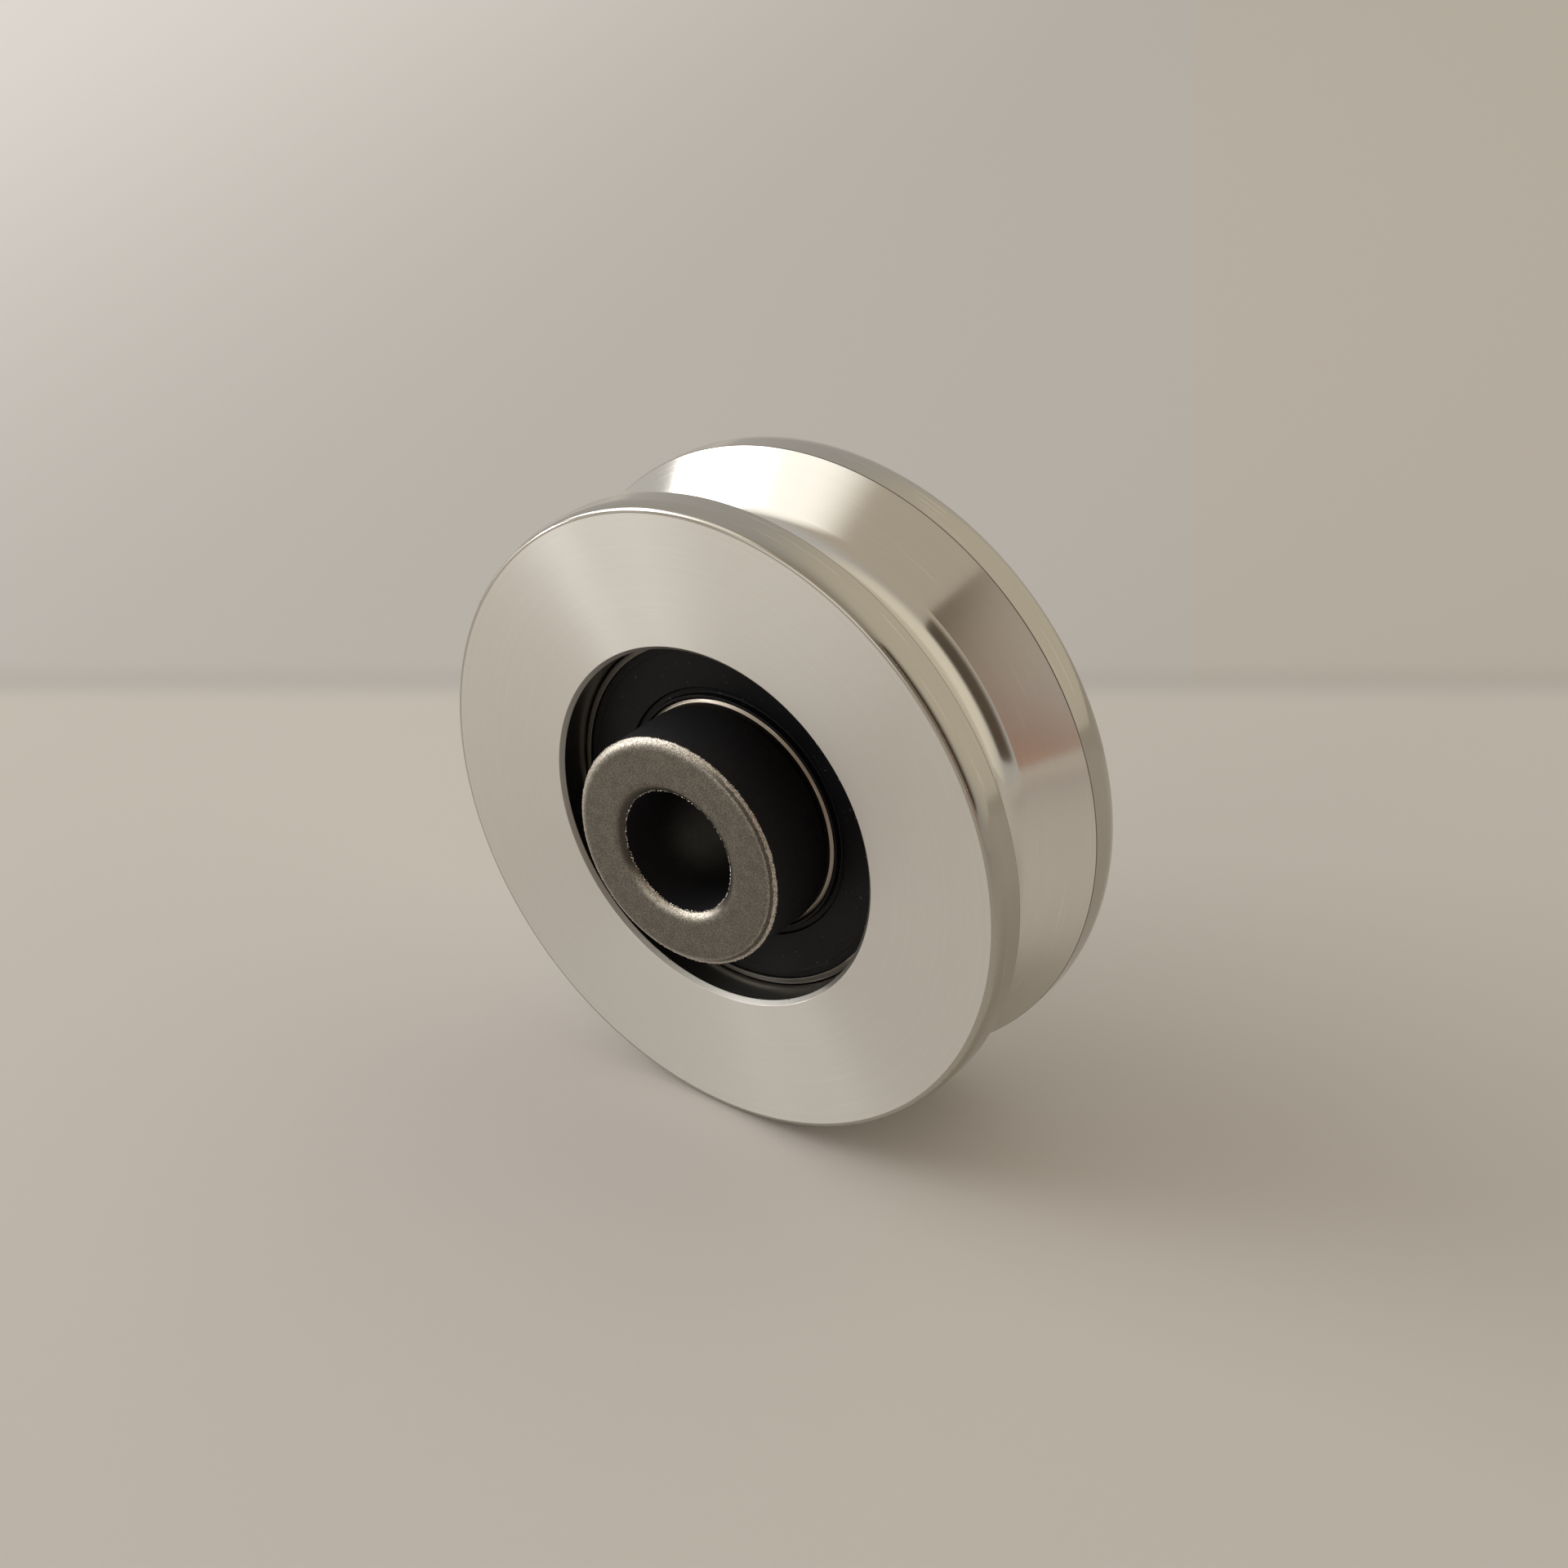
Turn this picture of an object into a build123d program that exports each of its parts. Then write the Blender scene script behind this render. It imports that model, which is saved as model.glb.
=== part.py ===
from build123d import *
from math import cos, isclose, pi, radians, sin, sqrt, tan
import os

# V-groove pulley wheel on a sealed ball bearing, with a bush on each side.
# The wheel turns about the Y axis. Its front faces -Y. Z is up. Lengths are in millimetres.
# The origin is the wheel's centre: on the axle line, midway between its two faces.

# Wheel, turned from one piece of aluminium
wheel_wall = 13.49  # from the bearing seat out to the rim, which is then 62 across
wheel_width = 19.4
groove_width = 12.5  # opening of the V at the rim
groove_angle = 90.0  # between the two flanks, in degrees
groove_root_radius = 3.0
groove_lip_radius = 0.15
rim_roll_radius = 3.6  # the land rolls off towards the face on this radius
rim_roll_width = 1.6
rim_edge_radius = 0.5  # between the rolled land and the face
bearing_recess = 3.3  # from the wheel's front face down to the bearing
seat_chamfer = 0.4
shoulder_height = 2.25  # of the step at the bottom of the seat, which stops the bearing
rear_hole_chamfer = 0.5

# Sealed deep-groove ball bearing, which comes to 17 x 35 x 10
bearing_bore = 17.0
ring_wall = 2.095  # of each ring behind its raceway
ring_corner_radius = 0.3
ball_count = 10
ball_diameter = 4.75
raceway_conformity = 0.52  # raceway radius as a share of the ball's diameter
raceway_depth = 0.9  # from a ring's land down to the raceway's lowest line
race_clearance = 0.03  # between ball and raceway, on each side
ring_land_chamfer = 0.12
seat_clearance = 0.01

# Pressed ribbon cage
cage_thickness = 0.45
cage_band_width = 1.6  # across the ribbon, in and out from the ball circle
pocket_clearance = 0.1
rivet_diameter = 0.9
rivet_head_diameter = 1.5
rivet_head_height = 0.3
rivet_clearance = 0.01

# Rubber seals
seal_thickness = 1.5  # from the bearing's face to the seal's inner side
seal_cage_gap = 0.575  # between the seal and the cage's domes
seal_wall = 0.55  # thickness of the outer ring around the seal
seal_hook = 0.12  # the ring's lip that holds the seal in, measured inwards
seal_hook_height = 0.3
seal_clearance = 0.02
seal_lip_gap = 0.05  # running gap between the lip and the inner ring
seal_lip_width = 0.3
seal_channel_width = 0.55  # the round channel just outside the lip
seal_channel_depth = 0.75  # below the bearing's face
seal_web_depth = 0.4
seal_bead_width = 0.7
seal_bead_depth = 0.3
seal_edge_radius = 0.08

# Bushes, one on each side of the bearing
axle_bore = 12.0
bush_step = 0.295  # the head is this much smaller than the inner ring, all round
bush_overhang = 5.05  # how far a bush's end stands out from the wheel's face
bush_fit = 0.02  # radial gap of the spigot in the bearing
spigot_gap = 0.2  # between the two spigots, inside the bearing
end_round_width = 1.0  # worn outer edge of the end face, across and down
end_round_height = 0.58
end_round_radius = 2.0
mouth_round_width = 1.1  # rounded mouth of the bore, across and down
mouth_round_height = 0.45
mouth_round_radius = 1.8
head_base_chamfer = 0.8  # at the foot of the head, beside the bearing
spigot_chamfer = 0.4

# Values worked out from the sizes above
FRONT, REAR = -1, 1
EDGE_MATCH = 1e-4
half_width = wheel_width / 2
ball_radius = ball_diameter / 2
inner_raceway = bearing_bore / 2 + ring_wall
pitch_radius = inner_raceway + race_clearance + ball_radius
outer_raceway = pitch_radius + ball_radius + race_clearance
bearing_radius = outer_raceway + ring_wall
seat_radius = bearing_radius + seat_clearance
rim_radius = seat_radius + wheel_wall
rear_hole_radius = seat_radius - shoulder_height
groove_half = groove_width / 2
groove_depth = groove_half / tan(radians(groove_angle / 2))
roll_drop = rim_roll_radius - sqrt(rim_roll_radius**2 - rim_roll_width**2)
land_edge = half_width - rim_roll_width
pocket_radius = ball_radius + pocket_clearance
dome_radius = pocket_radius + cage_thickness
bearing_width = 2 * (dome_radius + seal_cage_gap + seal_thickness)
bearing_front = -half_width + bearing_recess
bearing_rear = bearing_front + bearing_width
bearing_middle = (bearing_front + bearing_rear) / 2
raceway_radius = raceway_conformity * ball_diameter
inner_land = inner_raceway + raceway_depth
outer_land = outer_raceway - raceway_depth
seal_outer = bearing_radius - seal_wall
spigot_radius = bearing_bore / 2 - bush_fit
bush_radius = inner_land - bush_step
bush_end = half_width + bush_overhang
bearing_plane = Plane.XZ.offset(-bearing_middle)


def bearing_face(side):
    """Station of the bearing's face on one side, along the axle."""
    return bearing_front if side == FRONT else bearing_rear


def corner(profile, radius, station):
    """The corner of a profile that lies at a radius and a station."""
    return profile.vertices().sort_by_distance((radius, station))[0]


def round_edges(part, radius, station):
    """The circular edges of a turned part that have a radius and lie at a station."""
    return part.edges().filter_by(GeomType.CIRCLE).filter_by(
        lambda edge: isclose(edge.radius, radius, abs_tol=EDGE_MATCH)
        and isclose(edge.arc_center.Y, station, abs_tol=EDGE_MATCH)
    )


# Profiles are drawn with X as the radius and Y as the station along the axle,
# and turned about the Y axis.

# The wheel is a disc with rolled rim shoulders, a V-groove and a stepped hole
with BuildPart() as pulley_wheel:
    with BuildSketch(Plane.XY) as wheel_profile:
        with BuildLine() as wheel_outline:
            Polyline(
                (rim_radius - groove_depth, 0),
                (rim_radius, -groove_half),
                (rim_radius, -land_edge),
            )
            RadiusArc(
                (rim_radius, -land_edge), (rim_radius - roll_drop, -half_width), rim_roll_radius
            )
            Polyline(
                (rim_radius - roll_drop, -half_width),
                (0, -half_width),
                (0, 0),
                (rim_radius - groove_depth, 0),
            )
        make_face()
        mirror(about=Plane.XZ)
        fillet(corner(wheel_profile, rim_radius - groove_depth, 0), groove_root_radius)
        fillet(corner(wheel_profile, rim_radius, -groove_half), groove_lip_radius)
        fillet(corner(wheel_profile, rim_radius, groove_half), groove_lip_radius)
        fillet(corner(wheel_profile, rim_radius - roll_drop, -half_width), rim_edge_radius)
        fillet(corner(wheel_profile, rim_radius - roll_drop, half_width), rim_edge_radius)
    revolve(axis=Axis.Y)
    with Locations(Plane.XZ.offset(half_width)):
        CounterBoreHole(
            radius=rear_hole_radius,
            counter_bore_radius=seat_radius,
            counter_bore_depth=bearing_recess + bearing_width,
        )
    chamfer(round_edges(pulley_wheel, seat_radius, -half_width), seat_chamfer)
    chamfer(round_edges(pulley_wheel, rear_hole_radius, half_width), rear_hole_chamfer)
pulley_wheel.part.label = "pulley_wheel"

# The outer ring has the raceway inside and a hooked seat for a seal at each face
with BuildPart() as bearing_outer_ring:
    with BuildSketch(Plane.XY) as outer_ring_profile:
        with Locations(((outer_land + bearing_radius) / 2, bearing_middle)):
            Rectangle(bearing_radius - outer_land, bearing_width)
        for side in (FRONT, REAR):
            fillet(corner(outer_ring_profile, bearing_radius, bearing_face(side)), ring_corner_radius)
        for side in (FRONT, REAR):
            face = bearing_face(side)
            with BuildLine():
                Polyline(
                    (outer_land, face),
                    (seal_outer - seal_hook, face),
                    (seal_outer - seal_hook, face - side * seal_hook_height),
                    (seal_outer, face - side * (seal_hook_height + seal_hook)),
                    (seal_outer, face - side * seal_thickness),
                    (outer_land, face - side * seal_thickness),
                    close=True,
                )
            make_face(mode=Mode.SUBTRACT)
        with Locations((outer_raceway - raceway_radius, bearing_middle)):
            Circle(raceway_radius, mode=Mode.SUBTRACT)
    revolve(axis=Axis.Y)
bearing_outer_ring.part.label = "bearing_outer_ring"

# The inner ring has the raceway outside and small chamfers where the seals' lips run
with BuildPart() as bearing_inner_ring:
    with BuildSketch(Plane.XY) as inner_ring_profile:
        with Locations(((inner_land + bearing_bore / 2) / 2, bearing_middle)):
            Rectangle(inner_land - bearing_bore / 2, bearing_width)
        for side in (FRONT, REAR):
            fillet(corner(inner_ring_profile, bearing_bore / 2, bearing_face(side)), ring_corner_radius)
            chamfer(corner(inner_ring_profile, inner_land, bearing_face(side)), ring_land_chamfer)
        with Locations((inner_raceway + raceway_radius, bearing_middle)):
            Circle(raceway_radius, mode=Mode.SUBTRACT)
    revolve(axis=Axis.Y)
bearing_inner_ring.part.label = "bearing_inner_ring"

# The balls stand evenly round the pitch circle, one of them straight above the axle
balls = []
for index in range(ball_count):
    ball_angle = 2 * pi * index / ball_count
    ball_centre = (pitch_radius * sin(ball_angle), bearing_middle, pitch_radius * cos(ball_angle))
    with BuildPart() as ball:
        with Locations(ball_centre):
            Sphere(ball_radius)
    ball.part.label = f"ball_{index + 1}"
    balls.append(ball)


def cage_half(side):
    """One pressed ribbon: flat between the balls, domed over each of them."""
    with BuildPart(bearing_plane) as half:
        with BuildSketch(Plane.XY):
            with Locations((pitch_radius, bearing_middle + side * cage_thickness / 2)):
                Rectangle(cage_band_width, cage_thickness)
        revolve(axis=Axis.Y)
        with PolarLocations(pitch_radius, ball_count, start_angle=90):
            Sphere(dome_radius)
        with BuildSketch(Plane.XY):
            with Locations((pitch_radius, bearing_middle + side * dome_radius / 2)):
                Rectangle(cage_band_width, dome_radius)
        revolve(axis=Axis.Y, mode=Mode.INTERSECT)
        with PolarLocations(pitch_radius, ball_count, start_angle=90):
            Sphere(pocket_radius, mode=Mode.SUBTRACT)
        with PolarLocations(pitch_radius, ball_count, start_angle=90 + 180 / ball_count):
            Cylinder(rivet_diameter / 2 + rivet_clearance, 2 * dome_radius, mode=Mode.SUBTRACT)
    return half


front_cage_half = cage_half(FRONT)
front_cage_half.part.label = "front_cage_half"
rear_cage_half = cage_half(REAR)
rear_cage_half.part.label = "rear_cage_half"

# A rivet between each two balls holds the halves together, with a flat head on each side
with BuildPart(bearing_plane) as cage_rivets:
    head_middle = cage_thickness + rivet_head_height / 2
    with PolarLocations(pitch_radius, ball_count, start_angle=90 + 180 / ball_count):
        Cylinder(rivet_diameter / 2, 2 * cage_thickness)
        with Locations((0, 0, head_middle), (0, 0, -head_middle)):
            Cylinder(rivet_head_diameter / 2, rivet_head_height)
cage_rivets.part.label = "cage_rivets"


def rubber_seal(side):
    """A moulded seal: bead in the outer ring, thin web, round channel and a running lip."""
    face = bearing_face(side)
    lip = inner_land + seal_lip_gap
    bead = seal_outer - seal_clearance
    hook = seal_hook + seal_clearance
    with BuildPart() as seal:
        with BuildSketch(Plane.XY) as seal_profile:
            with BuildLine():
                Polyline(
                    (lip, face - side * seal_clearance),
                    (lip + seal_lip_width, face - side * seal_clearance),
                    (lip + seal_lip_width, face - side * seal_channel_depth),
                    (lip + seal_lip_width + seal_channel_width, face - side * seal_channel_depth),
                    (lip + seal_lip_width + seal_channel_width, face - side * seal_web_depth),
                    (bead - hook - seal_bead_width, face - side * seal_web_depth),
                    (bead - hook - seal_bead_width, face - side * seal_bead_depth),
                    (bead - hook, face - side * seal_bead_depth),
                    (bead, face - side * (seal_hook_height + hook + seal_clearance)),
                    (bead, face - side * (seal_thickness - seal_clearance)),
                    (lip, face - side * (seal_thickness - seal_clearance)),
                    close=True,
                )
            make_face()
            fillet(corner(seal_profile, lip + seal_lip_width, face), seal_edge_radius)
            web_corner = (lip + seal_lip_width + seal_channel_width, face - side * seal_web_depth)
            fillet(corner(seal_profile, *web_corner), seal_edge_radius)
        revolve(axis=Axis.Y)
    return seal


front_seal = rubber_seal(FRONT)
front_seal.part.label = "front_seal"
rear_seal = rubber_seal(REAR)
rear_seal.part.label = "rear_seal"


def bush(side):
    """A top-hat bush: its spigot fills the bearing's bore, its head stands on the inner ring."""
    face = bearing_face(side)
    end = side * bush_end
    spigot_end = bearing_middle + side * spigot_gap / 2
    bore = axle_bore / 2
    with BuildPart() as top_hat:
        with BuildSketch(Plane.XY) as bush_profile:
            with BuildLine():
                Polyline(
                    (bore, end - side * mouth_round_height),
                    (bore, spigot_end),
                    (spigot_radius, spigot_end),
                    (spigot_radius, face),
                    (bush_radius, face),
                    (bush_radius, end - side * end_round_height),
                )
                RadiusArc(
                    (bush_radius, end - side * end_round_height),
                    (bush_radius - end_round_width, end),
                    -side * end_round_radius,
                )
                Line((bush_radius - end_round_width, end), (bore + mouth_round_width, end))
                RadiusArc(
                    (bore + mouth_round_width, end),
                    (bore, end - side * mouth_round_height),
                    -side * mouth_round_radius,
                )
            make_face()
            chamfer(corner(bush_profile, spigot_radius, spigot_end), spigot_chamfer)
            chamfer(corner(bush_profile, bush_radius, face), head_base_chamfer)
        revolve(axis=Axis.Y)
    return top_hat


front_bush = bush(FRONT)
front_bush.part.label = "front_bush"
rear_bush = bush(REAR)
rear_bush.part.label = "rear_bush"

# Write each piece to its own file
os.makedirs("parts", exist_ok=True)
pieces = [
    pulley_wheel,
    bearing_outer_ring,
    bearing_inner_ring,
    *balls,
    front_cage_half,
    rear_cage_half,
    cage_rivets,
    front_seal,
    rear_seal,
    front_bush,
    rear_bush,
]
for piece in pieces:
    export_step(piece.part, f"parts/{piece.part.label}.step")
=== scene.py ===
import math

import bmesh
import bpy
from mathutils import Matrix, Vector


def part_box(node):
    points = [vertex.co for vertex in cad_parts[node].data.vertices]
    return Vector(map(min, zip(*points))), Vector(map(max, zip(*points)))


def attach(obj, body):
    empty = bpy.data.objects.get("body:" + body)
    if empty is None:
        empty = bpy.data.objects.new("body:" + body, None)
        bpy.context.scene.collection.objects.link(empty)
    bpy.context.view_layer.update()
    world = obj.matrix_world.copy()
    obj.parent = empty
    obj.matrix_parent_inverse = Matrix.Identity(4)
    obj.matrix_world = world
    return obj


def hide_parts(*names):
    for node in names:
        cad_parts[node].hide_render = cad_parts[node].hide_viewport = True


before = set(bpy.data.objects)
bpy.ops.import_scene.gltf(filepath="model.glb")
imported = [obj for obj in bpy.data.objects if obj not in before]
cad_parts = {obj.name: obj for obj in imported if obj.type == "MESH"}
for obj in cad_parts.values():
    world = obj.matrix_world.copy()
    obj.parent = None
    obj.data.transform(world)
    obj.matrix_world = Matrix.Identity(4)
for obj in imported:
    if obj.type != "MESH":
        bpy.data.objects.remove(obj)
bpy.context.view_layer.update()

# A turned aluminium pulley wheel on a sealed bearing, seen a little from above.
# The wheel turns about Y, its front faces -Y and it stands on its rims on the floor.
# The part's sizes are in millimetres and become metres where a mesh is made.
MM = 0.001
FRONT, REAR = -1, 1

# Wheel
wheel_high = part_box("pulley_wheel")[1]
rim_radius = wheel_high.z / MM
half_width = wheel_high.y / MM
groove_half = 6.25
groove_depth = groove_half
groove_root_radius = 3.0
groove_lip_radius = 0.15
roll_radius = 3.6
roll_width = 1.6
rim_edge_radius = 0.5
seat_radius = 17.51
seat_chamfer = 0.4
rear_hole_radius = 15.26
rear_hole_chamfer = 0.5
edge_break = 0.05
wheel_segments = 560

# Bearing
ring_low, ring_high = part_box("bearing_inner_ring")
bearing_front = ring_low.y / MM
bearing_rear = ring_high.y / MM
bearing_middle = (bearing_front + bearing_rear) / 2
bearing_half = (bearing_rear - bearing_front) / 2
bearing_radius = 17.5
bearing_bore_radius = 8.5
inner_land = 11.495
outer_land = 14.505
inner_race = 10.595
outer_race = 15.405
race_half_width = 1.88
race_rounding = 1.6
race_break = 0.1
ring_corner = 0.3
ring_break = 0.04
land_chamfer_width = 0.34
land_chamfer_depth = 0.26
seal_outer = 16.95
seal_hook = 0.12
seal_hook_height = 0.3
seal_clearance = 0.02
seal_lip_gap = 0.05
seal_thickness = 1.5
seal_lip_width = 0.3
seal_channel_width = 0.55
seal_channel_depth = 0.75
seal_web_depth = 0.4
seal_bead_width = 0.7
seal_bead_depth = 0.3
ring_segments = 384

# Bushes
bush_low, bush_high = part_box("front_bush")
bush_end = -bush_low.y / MM
bush_radius = bush_high.z / MM
axle_bore_radius = 6.0
spigot_radius = 8.48
spigot_chamfer = 0.4
spigot_half_gap = 0.1
end_round_width = 1.0
end_round_height = 0.58
end_round_radius = 2.0
mouth_round_width = 1.1
mouth_round_height = 0.62
mouth_round_radius = 1.6
head_base_chamfer = 0.8
bush_segments = 840


# Turned shapes

def between(a, b, share):
    """The point at a share of the way from a to b."""
    return (a[0] + (b[0] - a[0]) * share, a[1] + (b[1] - a[1]) * share)


def rounded_corner(before, here, after, radius, steps):
    """Points along an arc that rounds the corner at here, tangent to both of its sides."""
    if radius == 0:
        return [here]
    to_before = Vector((before[0] - here[0], before[1] - here[1]))
    to_after = Vector((after[0] - here[0], after[1] - here[1]))
    turn = to_before.angle(to_after)
    reach = radius / math.tan(turn / 2)
    reach = min(reach, to_before.length * 0.49, to_after.length * 0.49)
    radius = reach * math.tan(turn / 2)
    start = Vector(here) + to_before.normalized() * reach
    end = Vector(here) + to_after.normalized() * reach
    middle = Vector(here) + (to_before.normalized() + to_after.normalized()).normalized() * (
        radius / math.sin(turn / 2)
    )
    first = start - middle
    last = end - middle
    sweep = first.angle_signed(last)
    points = []
    for step in range(steps + 1):
        angle = -sweep * step / steps
        cos, sin = math.cos(angle), math.sin(angle)
        points.append((
            middle.x + first.x * cos - first.y * sin,
            middle.y + first.x * sin + first.y * cos,
        ))
    return points


def arc_between(start, end, radius, side, steps):
    """Points of a shallow arc from start to end that bulges outwards, away from the wheel's middle."""
    chord = math.dist(start, end)
    middle = between(start, end, 0.5)
    lean = math.sqrt(radius ** 2 - (chord / 2) ** 2)
    across = ((end[1] - start[1]) / chord, -(end[0] - start[0]) / chord)
    if across[1] * side < 0:
        across = (-across[0], -across[1])
    centre = (middle[0] - across[0] * lean, middle[1] - across[1] * lean)
    first = math.atan2(start[1] - centre[1], start[0] - centre[0])
    last = math.atan2(end[1] - centre[1], end[0] - centre[0])
    return [
        (centre[0] + radius * math.cos(first + (last - first) * step / steps),
         centre[1] + radius * math.sin(first + (last - first) * step / steps))
        for step in range(steps + 1)
    ]


def rolled_rim(side):
    """Points from the face's edge over its rounding and the rolled shoulder to the land."""
    edge_steps, roll_steps = 8, 12
    land_edge = half_width - roll_width
    centre = (rim_radius - roll_radius, land_edge)
    rise = half_width - rim_edge_radius - land_edge
    reach = math.sqrt((roll_radius - rim_edge_radius) ** 2 - rise ** 2)
    edge_centre = (centre[0] + reach, land_edge + rise)
    meet = math.atan2(rise, reach)
    points = []
    for step in range(edge_steps + 1):
        angle = math.pi / 2 + (meet - math.pi / 2) * step / edge_steps
        points.append((edge_centre[0] + rim_edge_radius * math.cos(angle),
                       side * (edge_centre[1] + rim_edge_radius * math.sin(angle))))
    for step in range(1, roll_steps + 1):
        angle = meet * (1 - step / roll_steps)
        points.append((centre[0] + roll_radius * math.cos(angle),
                       side * (centre[1] + roll_radius * math.sin(angle))))
    return points


def section(corners):
    """A closed section from corners (radius, station, rounding, finish of the side that follows).

    A fifth value gives the rounding a finish of its own.
    Returns its points and the finish of each side. Long sides get a point close to each end,
    which keeps the smooth shading of the roundings off the flats."""
    long_side, margin = 0.3, 0.03
    large_rounding, few_steps, many_steps = 0.5, 5, 10
    points, finishes = [], []
    count = len(corners)
    runs = []
    for index, (radius, station, rounding, finish, *own) in enumerate(corners):
        before, after = corners[index - 1], corners[(index + 1) % count]
        steps = many_steps if rounding > large_rounding else few_steps
        arc = rounded_corner(before[:2], (radius, station), after[:2], rounding, steps)
        runs.append((arc, finish, own[0] if own else finish))
    for index, (arc, finish, arc_finish) in enumerate(runs):
        next_arc = runs[(index + 1) % count][0]
        for point in arc[:-1]:
            points.append(point)
            finishes.append(arc_finish)
        start, end = arc[-1], next_arc[0]
        length = math.dist(start, end)
        points.append(start)
        finishes.append(finish)
        if length > long_side:
            for share in (margin / length, 0.25, 0.5, 0.75, 1 - margin / length):
                points.append(between(start, end, share))
                finishes.append(finish)
    return points, finishes


def plain_section(corners):
    """A closed section from corners (radius, station, rounding), all in one finish."""
    return section([(*corner, 0) for corner in corners])


def both_sides(corners_at, middle):
    """Corners of a section that is the same on both sides of its middle corner."""
    return corners_at(FRONT) + [middle] + corners_at(REAR)[::-1]


def turned(name, points, finishes, materials, segments):
    """A solid of revolution about Y. Its UV map holds the turn (0 to 1) and the path in mm."""
    mesh = bpy.data.meshes.new(name)
    shape = bmesh.new()
    uv = shape.loops.layers.uv.new("turned")
    count = len(points)
    rings = []
    for step in range(segments):
        angle = 2 * math.pi * step / segments
        cos, sin = math.cos(angle) * MM, math.sin(angle) * MM
        rings.append([shape.verts.new((r * cos, y * MM, r * sin)) for r, y in points])
    path = [0.0]
    for index in range(count):
        path.append(path[-1] + math.dist(points[index], points[(index + 1) % count]))
    for step in range(segments):
        here, there = rings[step], rings[(step + 1) % segments]
        for index in range(count):
            after = (index + 1) % count
            face = shape.faces.new((here[index], here[after], there[after], there[index]))
            face.material_index = finishes[index]
            face.smooth = True
            places = (
                (step, path[index]), (step, path[index + 1]),
                (step + 1, path[index + 1]), (step + 1, path[index]),
            )
            for loop, (u, v) in zip(face.loops, places):
                loop[uv].uv = (u / segments, v)
    bmesh.ops.recalc_face_normals(shape, faces=shape.faces)
    shape.to_mesh(mesh)
    shape.free()
    for material in materials:
        mesh.materials.append(material)
    piece = bpy.data.objects.new(name, mesh)
    bpy.context.scene.collection.objects.link(piece)
    return piece


# Node building

def new_material(name):
    """An empty material with its Principled shader, and its node tree."""
    material = bpy.data.materials.new(name)
    material.use_nodes = True
    tree = material.node_tree
    tree.nodes.clear()
    output = tree.nodes.new("ShaderNodeOutputMaterial")
    shader = tree.nodes.new("ShaderNodeBsdfPrincipled")
    tree.links.new(shader.outputs["BSDF"], output.inputs["Surface"])
    return material, tree, shader


def put(tree, socket, value):
    """Links a socket or sets a value."""
    if isinstance(value, bpy.types.NodeSocket):
        tree.links.new(value, socket)
    else:
        socket.default_value = value


def calc(tree, operation, first, second=0.0, third=0.0):
    node = tree.nodes.new("ShaderNodeMath")
    node.operation = operation
    for socket, value in zip(node.inputs, (first, second, third)):
        put(tree, socket, value)
    return node.outputs[0]


def ramp(tree, value, low, high, out_low=0.0, out_high=1.0, smooth=True):
    """Maps a value from one range to another, clamped."""
    node = tree.nodes.new("ShaderNodeMapRange")
    node.interpolation_type = "SMOOTHSTEP" if smooth else "LINEAR"
    for socket, number in zip(node.inputs[:5], (value, low, high, out_low, out_high)):
        put(tree, socket, number)
    return node.outputs[0]


def noise(tree, vector, scale, detail=2.0, roughness=0.5):
    node = tree.nodes.new("ShaderNodeTexNoise")
    put(tree, node.inputs["Vector"], vector)
    put(tree, node.inputs["Scale"], scale)
    put(tree, node.inputs["Detail"], detail)
    put(tree, node.inputs["Roughness"], roughness)
    return node.outputs["Fac"]


def dot(tree, vector, direction):
    """How far a vector reaches along a direction."""
    node = tree.nodes.new("ShaderNodeVectorMath")
    node.operation = "DOT_PRODUCT"
    put(tree, node.inputs[0], vector)
    node.inputs[1].default_value = Vector(direction).normalized()
    return node.outputs["Value"]


def scaled(tree, vector, factor):
    node = tree.nodes.new("ShaderNodeVectorMath")
    node.operation = "SCALE"
    put(tree, node.inputs[0], vector)
    put(tree, node.inputs["Scale"], factor)
    return node.outputs[0]


def color(red, green, blue):
    return (red, green, blue, 1.0)


def blend_colors(tree, share, first, second):
    node = tree.nodes.new("ShaderNodeMix")
    node.data_type = "RGBA"
    put(tree, node.inputs["Factor"], share)
    put(tree, node.inputs["A"], first)
    put(tree, node.inputs["B"], second)
    return node.outputs["Result"]


def bump(tree, height, distance, below=None):
    node = tree.nodes.new("ShaderNodeBump")
    put(tree, node.inputs["Height"], height)
    node.inputs["Distance"].default_value = distance
    node.inputs["Strength"].default_value = 1.0
    if below is not None:
        put(tree, node.inputs["Normal"], below)
    return node.outputs["Normal"]


def object_coordinates(tree):
    return tree.nodes.new("ShaderNodeTexCoord").outputs["Object"]


def place(tree):
    """The three parts of the Object coordinates, and the radius about the axle."""
    split = tree.nodes.new("ShaderNodeSeparateXYZ")
    tree.links.new(object_coordinates(tree), split.inputs[0])
    x, y, z = split.outputs
    radius = calc(tree, "SQRT", calc(tree, "MULTIPLY_ADD", x, x, calc(tree, "MULTIPLY", z, z)))
    return x, y, z, radius


def ring_vector(tree, along, fineness):
    """A vector for marks that run round the piece: slow with the turn, fine along the path."""
    x, _, z, radius = place(tree)
    uv = tree.nodes.new("ShaderNodeUVMap")
    uv.uv_map = "turned"
    split = tree.nodes.new("ShaderNodeSeparateXYZ")
    tree.links.new(uv.outputs[0], split.inputs[0])
    join = tree.nodes.new("ShaderNodeCombineXYZ")
    put(tree, join.inputs[0], calc(tree, "MULTIPLY", calc(tree, "DIVIDE", x, radius), along))
    put(tree, join.inputs[1], calc(tree, "MULTIPLY", split.outputs[1], fineness))
    put(tree, join.inputs[2], calc(tree, "MULTIPLY", calc(tree, "DIVIDE", z, radius), along))
    return join.outputs[0]


# Materials

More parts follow.
